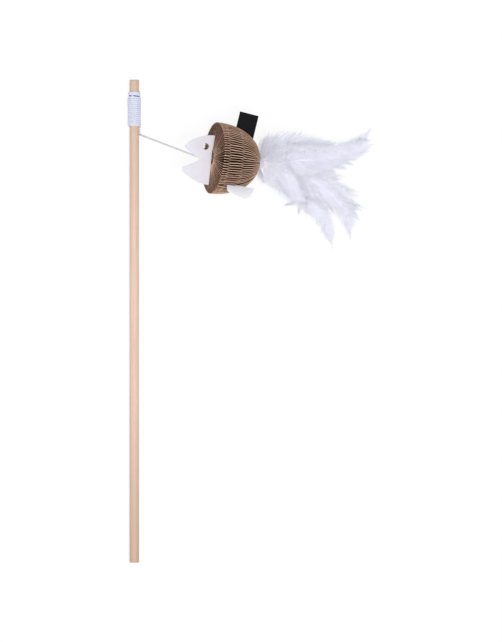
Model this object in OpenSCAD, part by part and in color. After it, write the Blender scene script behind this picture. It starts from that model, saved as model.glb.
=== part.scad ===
// Cat teaser wand: a dowel, a cord wound on its tip, and a fish of honeycomb paper with a feather tail.
// The wand lies as it does on a table: the dowel along Y, up +Z, the fish on its side to the right.

/* [Dowel] */
// Diameter of the dowel
rod_d = 8; // [6:0.5:12]
// Length of the dowel
rod_len = 400; // [250:5:600]
// Chamfer round both ends of the dowel
rod_edge = 0.6; // [0.2:0.1:1.2]

/* [Cord and winding] */
// Diameter of the cord where it is free
cord_d = 1.4; // [1.2:0.1:1.6]
// Turns of cord wound on the dowel
turns = 17; // [6:1:24]
// Distance from one turn to the next
turn_pitch = 1.66; // [1.6:0.02:2.2]
// Thickness of the wound cord, out from the dowel
turn_t = 1.5; // [1:0.1:1.8]
// Bare wood above the winding
bare_tip = 9.6; // [6:0.2:30]
// Cord that runs along the dowel below the winding
lead_len = 7; // [6:0.5:12]

/* [Paper body] */
// Radius of the paper body at its flat front
body_r = 29.8; // [24:0.2:36]
// Length of the paper body along its axis
body_len = 41; // [34:0.2:50]
// How far the rim of the front lies behind its middle
rim_back = 2.1; // [0:0.1:4]
// Fullness of the dome: 2 is an ellipse
dome_fullness = 2.2; // [1.9:0.05:2.6]
// Number of paper sheets fanned round the axis
sheet_count = 108; // [72:2:120]
// Thickness of a sheet with its glue
paper_t = 0.2; // [0.14:0.02:0.24]
// Thickness of a glue line between two sheets
glue_t = 0.14; // [0.1:0.02:0.16]
// Length of a glued band along the axis, to where the sheets change partners
band_pitch = 12.9; // [10:0.1:14]
// First change of partners, from the flat front
first_change = 6.8; // [5:0.1:8]
// Length over which the sheets change partners
change_len = 2.2; // [1.6:0.1:3]
// Radius within which the sheets are pressed solid
hub_r = 6; // [5.6:0.1:8]
// Thickness of each cover sheet in the seam
cover_t = 0.4; // [0.3:0.05:0.6]
// Outer radius of the core tube
core_r = 3; // [2.8:0.1:3.6]
// Bore radius of the core tube
core_bore = 2.3; // [2.1:0.05:2.5]

/* [Head and fin] */
// Thickness of the white head
head_t = 1; // [0.6:0.1:1.6]
// How far the head stands out of the body
head_len = 24.6; // [18:0.2:32]
// Height of the head where it meets the body, above the axis
head_up = 18.6; // [12:0.2:24]
// Depth of the head where it meets the body, below the axis
head_down = 22.7; // [14:0.2:26]
// Diameter of the eye hole
eye_d = 5.2; // [3:0.1:7]
// Length of the tongue that is glued into the seam
tongue_len = 12; // [6:0.5:14]
// Thickness of the fin
fin_t = 1; // [0.6:0.1:1.2]
// Length of the fin along the body
fin_len = 24; // [16:0.5:27]
// How far the fin stands out of the body
fin_out = 14.4; // [8:0.2:20]
// How deep the fin is glued between two sheets
fin_in = 5; // [3:0.5:6]

/* [Tag] */
// Width of the folded tag
tag_w = 16.4; // [10:0.2:16.6]
// Height of the folded tag, with what the seam holds
tag_h = 25; // [20:0.5:30]
// Thickness of the ribbon that the tag is folded from
tag_leaf = 0.4; // [0.2:0.05:0.45]

/* [Feathers] */
// Length scale of the longest feather
feather_len = 108; // [70:1:140]
// Half of a feather's greatest width
feather_half = 15; // [8:0.5:18]
// Thickness of a feather
feather_t = 0.9; // [0.6:0.1:1.2]
// Height from one feather to the next above it
feather_step = 1.3; // [1.3:0.1:2]
// Radius of a quill
quill_r = 0.5; // [0.35:0.05:0.55]

/* [Placing] */
// Distance of the mouth from the dowel's axis
mouth_out = 52.5; // [45:0.1:70]
// Distance of the mouth from the dowel's tip, along the dowel
mouth_back = 63.9; // [50:0.1:90]
// How far the fish's nose points up
nose_up = 17; // [10:0.5:24]
// How far the fish is turned, tail towards the handle
tail_turn = 6; // [0:0.5:15]

/* [Hidden] */

round_fn = 64;
// Clearance between pieces that are glued or laid face to face
seat = 0.05;
overrun = 1;

// Dowel and winding
rod_r = rod_d / 2;
cord_r = cord_d / 2;
TURN_STEPS = 24;
TURN_SIDES = 6;
LEAST_GAP = 0.42;
// The wound tube is six-sided, flat against the dowel, and narrower than the pitch by the least gap
turn_w = turn_pitch - LEAST_GAP;
wind_path_r = (rod_r + seat) / cos(180 / TURN_STEPS) + turn_t / 2;
wind_out_r = wind_path_r + turn_t / 2;
wind_len = turns * turn_pitch;
wind_top_y = rod_len - bare_tip - turn_w / 2;
wind_low_y = wind_top_y - wind_len;
wind_end_turn = 20;
lead_turn = -23;
exit_y = wind_low_y - lead_len;
// The dowel lies on its winding and on its lower end, so it tilts a little
rod_tilt = asin((wind_out_r - rod_r) / wind_low_y);
rod_up = rod_r * cos(rod_tilt);

function unit(v) = v / norm(v);
function rod_to_part(p) = [p.x,
    p.y * cos(rod_tilt) - p.z * sin(rod_tilt) + rod_r * sin(rod_tilt),
    p.y * sin(rod_tilt) + p.z * cos(rod_tilt) + rod_up];
function on_rod(r, turn, y) = [r * cos(turn), y, r * sin(turn)];
lead_r = rod_r + seat + cord_r;
exit_at = rod_to_part(on_rod(lead_r, lead_turn, exit_y));

// Dome profile: radius of the paper body at a distance u from its flat front
function dome_r(u) = body_r * pow(1 - pow(min(u, body_len) / body_len, dome_fullness), 1 / dome_fullness);
tail_cut_share = 0.965;
tail_u = body_len * tail_cut_share;
PROFILE_STEPS = 48;
// Depth of the dome's lowest point below its axis, as it lies with the nose up
dome_low = max([for (i = [0:PROFILE_STEPS]) let (u = tail_u * i / PROFILE_STEPS)
    u * sin(nose_up) + dome_r(u) * cos(nose_up)]);

// The mouth in the fish's own frame: u to the tail, v to the back, w to the near side
inner_w = -(head_t / 2 + seat + cord_r);
mouth_share = 0.47;
mouth_drop_share = 0.7;
mouth_fish = [-head_len * mouth_share, -cord_r * mouth_drop_share, inner_w];
function turn_fish(p) = let (a = p.x * cos(nose_up) + p.z * sin(nose_up),
    c = p.z * cos(nose_up) - p.x * sin(nose_up))
    [a * cos(tail_turn) + p.y * sin(tail_turn), p.y * cos(tail_turn) - a * sin(tail_turn), c];
mouth_turned = turn_fish(mouth_fish);
fish_at = [mouth_out - mouth_turned.x, rod_len - mouth_back - mouth_turned.y, dome_low + seat];
function fish_to_part(p) = fish_at + turn_fish(p);
mouth_at = fish_to_part(mouth_fish);
module in_fish() translate(fish_at) rotate([0, nose_up, -tail_turn]) children();

// The free cord's route from the exit, pulled straight to the mouth
cord_route = [
    [0, 0, 0], [3.21, -1.23, 2], [6.42, -2.46, 4], [9.63, -3.69, 6], [12.84, -4.92, 8], [16.05, -6.15, 10],
    [19.26, -7.38, 12], [22.47, -8.61, 14], [25.68, -9.84, 16], [28.89, -11.07, 18], [32.1, -12.3, 20],
    [35.31, -13.53, 22], [38.52, -14.76, 24], [41.73, -15.99, 26], [44.94, -17.22, 28],
    [48.15, -18.45, 30]];
cord_end = exit_at + cord_route[len(cord_route) - 1];
CORD_SIDES = 8;

// Sweeps: rings of equal count are joined into one closed solid of triangles
function ring_points(at, side, up, half_w, half_t, sides, first) =
    [for (j = [0:sides - 1]) let (a = first + 360 * j / sides) at + side * half_w * cos(a) + up * half_t * sin(a)];
function tangent_at(path, i) = unit(path[min(i + 1, len(path) - 1)] - path[max(i - 1, 0)]);
function tube_faces(rings, sides) = concat(
    [for (j = [1:sides - 2]) [0, j, j + 1]],
    [for (i = [0:rings - 2], j = [0:sides - 1]) let (k = (j + 1) % sides)
        each [[i * sides + j, (i + 1) * sides + j, (i + 1) * sides + k],
            [i * sides + j, (i + 1) * sides + k, i * sides + k]]],
    [for (j = [1:sides - 2]) [(rings - 1) * sides, (rings - 1) * sides + j + 1, (rings - 1) * sides + j]]);
module swept(rings) {
    sides = len(rings[0]);
    polyhedron(points = [for (r = rings) each r], faces = tube_faces(len(rings), sides), convexity = 10);
}

// Winding
function wind_turn(i) = wind_end_turn + 360 * (turns - i / TURN_STEPS);
function wind_point(i) = on_rod(wind_path_r, wind_turn(i), wind_top_y - turn_pitch * i / TURN_STEPS);
function wind_side(i) = unit([sin(wind_turn(i)), -turn_pitch / (2 * PI * wind_path_r), -cos(wind_turn(i))]);
wind_last = turns * TURN_STEPS;
wind_tail = wind_point(wind_last) + wind_side(wind_last) * turn_t;
wind_path = concat([wind_point(0) - wind_side(0) * turn_t], [for (i = [0:wind_last]) wind_point(i)], [wind_tail]);
wind_index = concat([0], [for (i = [0:wind_last]) i], [wind_last]);
wind_half_t = turn_t / 2 / cos(180 / TURN_SIDES);
wind_rings = [for (n = [0:len(wind_path) - 1]) let (i = wind_index[n], out = on_rod(1, wind_turn(i), 0),
    side = unit(cross(out, wind_side(i))))
    ring_points(wind_path[n], side, out, turn_w / 2, wind_half_t, TURN_SIDES, 0)];
turn_gap = min([for (i = [1:wind_last - TURN_STEPS], d = [-1:1])
    let (a = wind_rings[i], b = wind_rings[i + TURN_STEPS + d]) min([for (p = a, q = b) norm(p - q)])]);
echo(winding_least_gap = turn_gap);

// Lead: bends from the last turn's end to run along the dowel
lead_start = wind_tail + wind_side(wind_last) * seat;
lead_start_turn = atan2(lead_start.z, lead_start.x);
lead_start_r = norm([lead_start.x, lead_start.z]);
lead_bend = lead_r * (lead_start_turn - lead_turn) * PI / 180;
LEAD_STEPS = 8;
lead_path = concat(
    [for (i = [0:LEAD_STEPS]) let (a = 90 * i / LEAD_STEPS, s = i / LEAD_STEPS)
        on_rod(lead_start_r + (lead_r - lead_start_r) * sin(a),
            lead_start_turn + (lead_turn - lead_start_turn) * sin(a),
            lead_start.y - lead_bend * (1 - cos(a)))],
    [on_rod(lead_r, lead_turn, exit_y + cord_r + seat)]);
lead_rings = [for (i = [0:len(lead_path) - 1]) let (p = lead_path[i],
    t = i == 0 ? wind_side(wind_last) : tangent_at(lead_path, i),
    out = unit([p.x, 0, p.z]), side = unit(cross(out, t)))
    ring_points(p, side, cross(t, side), cord_r, cord_r, CORD_SIDES, 180 / CORD_SIDES)];

// Honeycomb: sheets stand on a hub, glued in pairs along each band, with the other neighbour in the next band
sheet_step = 360 / (sheet_count - 1);
seam_half = head_t / 2 + cover_t + paper_t / 2 + 3 * seat;
pair_half = (paper_t + glue_t) / 2;
fin_sheet = round(135 / sheet_step - 0.5);
fin_angle = (fin_sheet + 0.5) * sheet_step;
fin_base_share = 0.3;
fin_root_r = dome_r(tail_u * fin_base_share) - fin_in;
fin_off = seam_half * (1 - 2 * (fin_sheet + 0.5) / (sheet_count - 1));
fin_slot = max(0, fin_t / 2 + seat + paper_t / 2 - fin_root_r * sin(sheet_step / 2));
SLOT_FADE = 12;
// Least that a sheet stands out of the hub
SHEET_STUB = 0.25;
last_change = floor((tail_u - 2 * change_len - first_change) / band_pitch);
function change_at(k) = first_change + band_pitch * k;
function band_end(k) = k == last_change ? tail_u : change_at(k + 1) - change_len / 2;
stations = concat([0], [for (k = [0:last_change]) let (low = change_at(k) - change_len / 2, top = low + change_len)
    each concat([low, top], k == 0 ? [] : [(top + band_end(k)) / 2])], [tail_u]);
function changes_below(u) = len([for (k = [0:last_change]) if (change_at(k) < u) k]);
function band_phase(u) = changes_below(u) % 2 == 0 ? 1 : -1;
function sheet_way(i) = i % 2 == 0 ? 1 : -1;
function sheet_free(i) = i == 0 || i == sheet_count - 1 || i == fin_sheet || i == fin_sheet + 1 ? 0 : 1;
function sheet_angle(i, u) = sheet_step * (i + sheet_way(i) * sheet_free(i) * band_phase(u) / 2);
function fade(d) = sign(d) * max(0, 1 - abs(d) / SLOT_FADE);
function sheet_offset(i, u) = seam_half * (1 - 2 * i / (sheet_count - 1)) + fin_slot * fade(i - fin_sheet - 0.5)
    - sheet_way(i) * sheet_free(i) * pair_half * band_phase(u);
function across(u, r, a, off) = [u, r * cos(a) - off * sin(a), r * sin(a) + off * cos(a)];
function sheet_corners(i, u) = let (a = sheet_angle(i, u), o = sheet_offset(i, u),
    r = max(dome_r(u), hub_r + SHEET_STUB), rim_u = max(u, rim_back))
    [across(u, hub_r, a, o - paper_t / 2), across(rim_u, r, a, o - paper_t / 2),
        across(rim_u, r, a, o + paper_t / 2), across(u, hub_r, a, o + paper_t / 2)];
comb_rings = [for (u = stations) [for (i = [0:sheet_count - 1]) each sheet_corners(i, u)]];
comb_bore = [for (u = [0, tail_u]) [for (i = [0:sheet_count - 1])
    across(u, core_r + seat, sheet_step * i * (sheet_count - 1) / sheet_count, 0)]];
comb_size = 4 * sheet_count;
// Walls between two stations: both sides of a sheet are split from the hub to the edge, so that they can't cross
function comb_wall(s) = [for (j = [0:comb_size - 1])
    let (a = s * comb_size + j, b = s * comb_size + (j + 1) % comb_size, c = a + comb_size, d = b + comb_size)
    each j % 4 == 2 ? [[a, c, b], [c, d, b]] : [[a, d, b], [a, c, d]]];
// An end of the comb: each sheet's edge, then the ring between the hub and the bore
function comb_end(s, bore) = [for (i = [0:sheet_count - 1]) let (a = s * comb_size + 4 * i, n = (i + 1) % sheet_count,
    c = s * comb_size + 4 * n, p = bore + i, q = bore + n)
    each [[a, a + 3, a + 2], [a, a + 2, a + 1], [p, a + 3, a], [p, q, c], [p, c, a + 3]]];
function flip(faces) = [for (f = faces) [f[0], f[2], f[1]]];
bore_first = len(stations) * comb_size;
comb_faces = concat(flip(comb_end(0, bore_first)), [for (s = [0:len(stations) - 2]) each comb_wall(s)],
    comb_end(len(stations) - 1, bore_first + sheet_count),
    [for (i = [0:sheet_count - 1]) let (p = bore_first + i, q = bore_first + (i + 1) % sheet_count)
        each [[p, q, q + sheet_count], [p, q + sheet_count, p + sheet_count]]]);

// Feathers: each leaves its own quill, then lies on one surface that falls from the tail to the table
tail_at = fish_to_part([tail_u, 0, 0]);
quill_wall_share = 0.35;
quill_ring_r = core_bore - seat - quill_r * (1 + quill_wall_share);
plug_len = 4;
plug_stand = 0.6;
FEATHER_SIDES = 8;
FEATHER_STEPS = 14;
MIDDLE_RANK = 2;
tail_drop = tail_at.z - MIDDLE_RANK * feather_step;
droop_len = 2 * tail_drop / tan(nose_up);
drape_back_share = 0.6;
drape_back = body_len * drape_back_share;
drape_at = [tail_at.x - cos(tail_turn) * drape_back, tail_at.y + sin(tail_turn) * drape_back];
function drape(p, rank) = feather_t / 2 + seat + rank * feather_step
    + tail_drop * pow(max(0, 1 - (norm([p.x, p.y] - drape_at) - drape_back) / droop_len), 2);
function bezier(c, t) = c[0] * pow(1 - t, 3) + 3 * c[1] * t * pow(1 - t, 2)
    + 3 * c[2] * t * t * (1 - t) + c[3] * pow(t, 3);
vane_start_share = 0.05;
// Width shares of a vane at even steps from its root to its tip
broad_shares = [0.05, 0.9, 1, 1, 1, 0.97, 0.93, 0.87, 0.8, 0.72, 0.62, 0.52, 0.38, 0.22, 0.04];
slim_shares = [0.05, 0.9, 1, 1, 1, 0.95, 0.85, 0.72, 0.58, 0.48, 0.42, 0.37, 0.3, 0.18, 0.04];
function quill_at(turn, u) = fish_to_part([u, quill_ring_r * sin(turn), quill_ring_r * cos(turn)]);
function vane_point(plan_shares, i) = let (t = vane_start_share + (1 - vane_start_share) * i / FEATHER_STEPS,
    p = bezier(plan_shares, t) * feather_len) [tail_at.x + p.x, tail_at.y + p.y, 0];
function side_of(t) = unit(cross([0, 0, 1], t));
module feather(rank, turn, plan_shares, width_shares, breadth_share) {
    quill = [for (u = [tail_u - plug_len + plug_stand, tail_u + plug_stand]) quill_at(turn, u)];
    quill_way = unit(quill[1] - quill[0]);
    first = 180 / FEATHER_SIDES;
    side = side_of(quill_way);
    up = cross(quill_way, side);
    quill_rings = [for (p = quill) ring_points(p, side, up, quill_r, quill_r, FEATHER_SIDES, first)];
    vane = [for (i = [0:FEATHER_STEPS]) vane_point(plan_shares, i)];
    vane_rings = [for (i = [0:FEATHER_STEPS]) let (side = side_of(tangent_at(vane, i)),
        w = max(quill_r, feather_half * breadth_share * width_shares[i]), h = i == 0 ? quill_r : feather_t / 2)
        [for (j = [0:FEATHER_SIDES - 1]) let (a = first + 360 * j / FEATHER_SIDES, p = vane[i] + side * w * cos(a))
            [p.x, p.y, drape(p, rank) + h * sin(a)]]];
    swept(concat(quill_rings, vane_rings));
}

// Half profile of the dome from a radius near the axis out to the surface
function half_profile(inner) = concat([[0, inner]],
    [for (i = [0:PROFILE_STEPS]) let (u = rim_back + (tail_u - rim_back) * i / PROFILE_STEPS)
        [u, max(inner + seat, dome_r(u))]],
    [[tail_u, inner]]);

module rod() color("burlywood") translate([0, rod_r * sin(rod_tilt), rod_up]) rotate([rod_tilt, 0, 0])
    rotate([-90, 0, 0]) rotate_extrude($fn = round_fn) polygon([[0, 0], [rod_r - rod_edge, 0], [rod_r, rod_edge],
        [rod_r, rod_len - rod_edge], [rod_r - rod_edge, rod_len], [0, rod_len]]);

module on_dowel() translate([0, rod_r * sin(rod_tilt), rod_up]) rotate([rod_tilt, 0, 0]) children();

module cord_winding() color("white") on_dowel() swept(wind_rings);
module cord_lead() color("white") on_dowel() swept(lead_rings);
module exit_bend() color("white") translate(exit_at) sphere(r = cord_r, $fn = 32);
module mouth_bend() color("white") translate(cord_end) sphere(r = cord_r, $fn = 32);

module cord() {
    n = len(cord_route) - 1;
    way = unit(cord_route[n] - cord_route[0]);
    end_way = cord_r + seat;
    path = [for (i = [0:n]) exit_at + cord_route[i] + way * (i == 0 ? end_way : i == n ? -end_way : 0)];
    side = unit(cross([0, 0, 1], way));
    up = cross(way, side);
    color("white") swept([for (p = path) ring_points(p, side, up, cord_r, cord_r, CORD_SIDES, 180 / CORD_SIDES)]);
}

knot_u = body_len / 2;
knot_room = 0.2;
knot_r = core_bore - knot_room;
inner_v = mouth_fish.y;
inner_off = norm([inner_v, inner_w]) - cord_r;
knot_touch = knot_u - sqrt(knot_r * knot_r - inner_off * inner_off) - seat;
module inner_cord() color("white") in_fish()
    translate([mouth_fish.x + cord_r + 2 * seat, inner_v, inner_w]) rotate([0, 90, 0])
        cylinder(r = cord_r, h = knot_touch - mouth_fish.x - cord_r - 2 * seat, $fn = round_fn);
module end_knot() color("white") in_fish() translate([knot_u, 0, 0]) sphere(r = knot_r, $fn = round_fn);

module core_tube() color("peru") in_fish() rotate([0, 90, 0]) difference() {
    cylinder(r = core_r, h = tail_u, $fn = round_fn);
    translate([0, 0, -overrun]) cylinder(r = core_bore, h = tail_u + 2 * overrun, $fn = round_fn);
}

comb_points = concat([for (r = comb_rings) each r], [for (r = comb_bore) each r]);
module paper_body() color("rosybrown") in_fish() polyhedron(points = comb_points, faces = comb_faces, convexity = 20);

module cover(low_w) color("tan") in_fish() translate([0, 0, low_w]) linear_extrude(cover_t)
    polygon(half_profile(hub_r + seat));
module cover_near() cover(head_t / 2 + seat);
module cover_far() cover(-head_t / 2 - seat - cover_t);

// Outline of the head, from the seam tongue round the jaws, as shares of its length and its two heights
brow_shares = [[0.02, 1], [0.22, 0.977], [0.36, 0.926], [0.48, 0.87], [0.605, 0.805], [0.7, 0.74], [0.775, 0.673],
    [0.87, 0.57], [0.94, 0.46], [0.974, 0.393], [0.965, 0.34], [0.88, 0.27], [0.7, 0.104]];
chin_shares = [[0.475, 0.05], [0.42, 0.1], [0.44, 0.145], [0.52, 0.2], [0.73, 0.31], [0.93, 0.415], [1, 0.468],
    [0.99, 0.52], [0.94, 0.6], [0.875, 0.66], [0.78, 0.73], [0.68, 0.797], [0.56, 0.86], [0.445, 0.918],
    [0.34, 0.955], [0.2, 0.985], [0.02, 1]];
eye_back_share = 0.273;
eye_up_share = 0.47;
module head() color("whitesmoke") in_fish() translate([0, 0, -head_t / 2]) linear_extrude(head_t) {
    difference() {
        polygon(concat([[-seat, head_up]], [for (s = brow_shares) [-head_len * s.x, head_up * s.y]],
            [for (s = chin_shares) [-head_len * s.x, -head_down * s.y]], [[-seat, -head_down]]));
        translate([-head_len * eye_back_share, head_up * eye_up_share]) circle(d = eye_d, $fn = round_fn);
    }
    polygon([[-seat, hub_r + overrun], [tongue_len, hub_r + 3 * overrun], [tongue_len, head_up - 2 * overrun],
        [-seat, head_up]]);
}

// Fin in its own plane: shares of its length along the body, and of its reach out of the body
fin_start_share = 0.225;
fin_root_shares = [[0.02, 0], [0.3, 0]];
fin_shares = [[0.42, -0.02], [0.55, -0.02], [0.76, 0.06], [0.94, 0.05], [1, 0.12], [0.93, 0.36], [0.8, 0.7],
    [0.64, 0.98], [0.57, 1], [0.37, 0.86], [0.12, 0.63], [0, 0.42]];
fin_u = body_len * fin_start_share;
fin_base = dome_r(tail_u * fin_base_share);
module fin() color("whitesmoke") in_fish() rotate([fin_angle, 0, 0]) translate([0, 0, fin_off - fin_t / 2])
    linear_extrude(fin_t)
        polygon(concat([for (s = fin_root_shares) [fin_u + fin_len * s.x, fin_base - fin_in]],
            [for (s = fin_shares) [fin_u + fin_len * s.x, fin_base + fin_out * s.y]]));

// Tag: a ribbon folded once at its outer end, both ends glued into the seam
tag_place_share = 0.699;
tag_top_share = 1.333;
tag_u = body_len * tag_place_share;
tag_top = body_r * tag_top_share;
tag_lean = 8;
module tag() color("black") in_fish() translate([tag_u, tag_top, 0]) rotate([0, 0, -tag_lean])
    rotate([0, 90, 0]) linear_extrude(tag_w, center = true) difference() {
        union() {
            translate([-tag_leaf - seat / 2, -tag_h]) square([2 * tag_leaf + seat, tag_h - tag_leaf]);
            translate([0, -tag_leaf - seat / 2]) circle(r = tag_leaf + seat / 2, $fn = 32);
        }
        translate([-seat / 2, -tag_h - overrun]) square([seat, tag_h + overrun - tag_leaf - seat]);
    }

module glue_plug() color("ivory") in_fish() translate([tail_u - plug_len, 0, 0]) rotate([0, 90, 0]) difference() {
    cylinder(r = core_bore - seat, h = plug_len, $fn = round_fn);
    for (turn = quill_turns) translate([-quill_ring_r * cos(turn), quill_ring_r * sin(turn), -overrun])
        cylinder(r = quill_r + seat, h = plug_len + 2 * overrun, $fn = 24);
}

// Quills stand in a ring, turned so that each has a height of its own; plans are shares of feather_len
quill_turns = [-153, -81, -9, 63, 135];
inner_plan_shares = [[0, 0], [0.2, -0.1], [0.5, -0.26], [0.565, -0.645]];
outer_plan_shares = [[0, 0], [0.3, -0.05], [0.72, -0.14], [0.715, -0.58]];
middle_plan_shares = [[0, 0], [0.32, 0.03], [0.6, 0], [0.885, 0.115]];
short_plan_shares = [[0, 0], [0.2, -0.05], [0.26, -0.14], [0.33, -0.3]];
upper_plan_shares = [[0, 0], [0.28, 0.24], [0.62, -0.02], [0.87, 0.255]];
breadth_shares = [0.9, 1, 0.8, 0.62, 0.95];
module feather_inner() color("white") feather(0, quill_turns[0], inner_plan_shares, broad_shares, breadth_shares[0]);
module feather_upper() color("white") feather(1, quill_turns[4], upper_plan_shares, slim_shares, breadth_shares[4]);
module feather_outer() color("white") feather(2, quill_turns[1], outer_plan_shares, broad_shares, breadth_shares[1]);
module feather_short() color("white") feather(4, quill_turns[2], short_plan_shares, broad_shares, breadth_shares[3]);
module feather_middle() color("white") feather(3, quill_turns[3], middle_plan_shares, slim_shares, breadth_shares[2]);

// The part's origin is under the middle of the wand and its fish, on the table
reach_x = tail_at.x + feather_len * middle_plan_shares[3].x;
part_shift = [-(reach_x - wind_out_r) / 2, -rod_len / 2, 0];
echo(part_shift = part_shift, exit_at = exit_at + part_shift, cord_end = cord_end + part_shift,
    mouth_at = mouth_at + part_shift, tail_at = tail_at + part_shift, fish_at = fish_at + part_shift,
    rod_tilt = rod_tilt, fin_angle = fin_angle, dome_low = dome_low);

translate(part_shift) rod();
translate(part_shift) cord_winding();
translate(part_shift) cord_lead();
translate(part_shift) exit_bend();
translate(part_shift) cord();
translate(part_shift) mouth_bend();
translate(part_shift) inner_cord();
translate(part_shift) end_knot();
translate(part_shift) core_tube();
translate(part_shift) paper_body();
translate(part_shift) cover_near();
translate(part_shift) cover_far();
translate(part_shift) head();
translate(part_shift) fin();
translate(part_shift) tag();
translate(part_shift) glue_plug();
translate(part_shift) feather_upper();
translate(part_shift) feather_middle();
translate(part_shift) feather_outer();
translate(part_shift) feather_inner();
translate(part_shift) feather_short();
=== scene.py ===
import math
import random

import bpy
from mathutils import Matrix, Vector, noise


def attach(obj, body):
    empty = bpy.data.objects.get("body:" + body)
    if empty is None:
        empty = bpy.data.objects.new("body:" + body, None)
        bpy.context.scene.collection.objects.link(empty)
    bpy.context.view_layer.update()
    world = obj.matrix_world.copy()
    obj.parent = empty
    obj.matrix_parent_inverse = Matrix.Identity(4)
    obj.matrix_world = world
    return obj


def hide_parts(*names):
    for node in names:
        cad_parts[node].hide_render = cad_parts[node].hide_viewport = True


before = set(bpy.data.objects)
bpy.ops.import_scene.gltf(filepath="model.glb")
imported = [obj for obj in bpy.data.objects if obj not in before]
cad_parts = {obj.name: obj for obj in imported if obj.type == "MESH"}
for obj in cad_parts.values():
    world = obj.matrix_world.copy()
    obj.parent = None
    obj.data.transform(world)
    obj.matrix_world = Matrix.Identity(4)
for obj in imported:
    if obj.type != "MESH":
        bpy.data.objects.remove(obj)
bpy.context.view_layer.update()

# Sizes are in millimetres, and angles in radians, unless a name or a comment says otherwise
MM = 0.001
UP = Vector((0, 0, 1))

# ---------------------------------------------------------------- where the wand and the fish lie
ROD_R, ROD_HALF, ROD_X = 4.0, 200, -95.7674
ROD_TILT = math.radians(0.251165)
FISH_AT = Vector((-31.8565, 135.393, 31.5903))
NOSE_UP, TAIL_TURN = math.radians(17), math.radians(6)
BODY_R, BODY_LEN, FULLNESS = 29.8, 41.0, 2.2
HUB_R, SEAT = 6.0, 0.05
HEAD_LEN, HEAD_UP, HEAD_T = 24.6, 18.6, 1.0


def on_rod(radius, turn, along):
    """A point on the dowel, by its distance from the axis, its turn from +X and its place along it, in metres."""
    x, z = radius * math.cos(turn), radius * math.sin(turn)
    y = along * math.cos(ROD_TILT) - z * math.sin(ROD_TILT) + ROD_R * math.sin(ROD_TILT) - ROD_HALF
    up = along * math.sin(ROD_TILT) + (z + ROD_R) * math.cos(ROD_TILT)
    return Vector((x + ROD_X, y, up)) * MM


def fish_turn(u, v, w):
    """A way in the fish, turned into the frame."""
    along = u * math.cos(NOSE_UP) + w * math.sin(NOSE_UP)
    rise = w * math.cos(NOSE_UP) - u * math.sin(NOSE_UP)
    return Vector((along * math.cos(TAIL_TURN) + v * math.sin(TAIL_TURN),
                   v * math.cos(TAIL_TURN) - along * math.sin(TAIL_TURN), rise))


def in_fish(u, v, w):
    """A point of the fish: u to its tail, v to its back, w to its near side, in metres."""
    return (FISH_AT + fish_turn(u, v, w)) * MM


def dome_r(u):
    return BODY_R * (1 - (min(max(u, 0), BODY_LEN) / BODY_LEN) ** FULLNESS) ** (1 / FULLNESS)


# ---------------------------------------------------------------- camera
VIEW_PX, PIXEL = 642, 0.828
VIEW_AT = (0.8602 * MM, 0.2 * MM, 1.2)


def make_camera():
    data = bpy.data.cameras.new("camera")
    data.type = "ORTHO"
    data.ortho_scale = VIEW_PX * PIXEL * MM
    data.clip_start = 0.01
    data.clip_end = 10
    camera = bpy.data.objects.new("camera", data)
    bpy.context.scene.collection.objects.link(camera)
    camera.location = VIEW_AT
    bpy.context.scene.camera = camera


make_camera()


# ---------------------------------------------------------------- helpers for meshes
def mesh_piece(name, points, faces, smooth=True):
    data = bpy.data.meshes.new(name)
    data.from_pydata([tuple(p) for p in points], [], faces)
    data.validate()
    data.polygons.foreach_set("use_smooth", [smooth] * len(data.polygons))
    piece = bpy.data.objects.new(name, data)
    bpy.context.scene.collection.objects.link(piece)
    return piece


def only(piece):
    bpy.ops.object.select_all(action="DESELECT")
    bpy.context.view_layer.objects.active = piece
    piece.select_set(True)


def outward(piece):
    """Turns the faces of closed shells outwards."""
    only(piece)
    bpy.ops.object.mode_set(mode="EDIT")
    bpy.ops.mesh.select_all(action="SELECT")
    bpy.ops.mesh.normals_make_consistent(inside=False)
    bpy.ops.object.mode_set(mode="OBJECT")
    bpy.ops.object.select_all(action="DESELECT")


def dress(piece, material, slot, body, *nodes):
    piece.data.materials.clear()
    piece.data.materials.append(material)
    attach(piece, body)
    if nodes:
        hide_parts(*nodes)
    return piece


def tube(path, rings):
    """Points and faces of a tube with closed ends: rings gives each path point's ring of offsets."""
    points, faces = [], []
    n, last = len(rings[0]), len(path) - 1
    for p, ring in zip(path, rings):
        points += [p + offset for offset in ring]
    for i in range(last):
        for j in range(n):
            k = (j + 1) % n
            faces.append((i * n + j, i * n + k, (i + 1) * n + k, (i + 1) * n + j))
    faces.append(tuple(range(n))[::-1])
    faces.append(tuple(last * n + j for j in range(n)))
    return points, faces


def slab_faces(rows, columns, first=0):
    """Faces of a closed slab, whose points come as two layers of rows by columns."""
    def at(side, p, q):
        return first + (side * rows + p) * columns + q

    faces = []
    end, edge = rows - 1, columns - 1
    for p in range(end):
        for q in range(edge):
            faces.append((at(0, p, q), at(0, p, q + 1), at(0, p + 1, q + 1), at(0, p + 1, q)))
            faces.append((at(1, p, q), at(1, p + 1, q), at(1, p + 1, q + 1), at(1, p, q + 1)))
        faces.append((at(0, p, edge), at(1, p, edge), at(1, p + 1, edge), at(0, p + 1, edge)))
        faces.append((at(0, p, 0), at(0, p + 1, 0), at(1, p + 1, 0), at(1, p, 0)))
    for q in range(edge):
        faces.append((at(0, 0, q), at(1, 0, q), at(1, 0, q + 1), at(0, 0, q + 1)))
        faces.append((at(0, end, q), at(0, end, q + 1), at(1, end, q + 1), at(1, end, q)))
    return faces


def way_at(path, i):
    """The path's heading at one of its points, from the points beside it."""
    return (path[min(i + 1, len(path) - 1)] - path[max(i - 1, 0)]).normalized()


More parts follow.
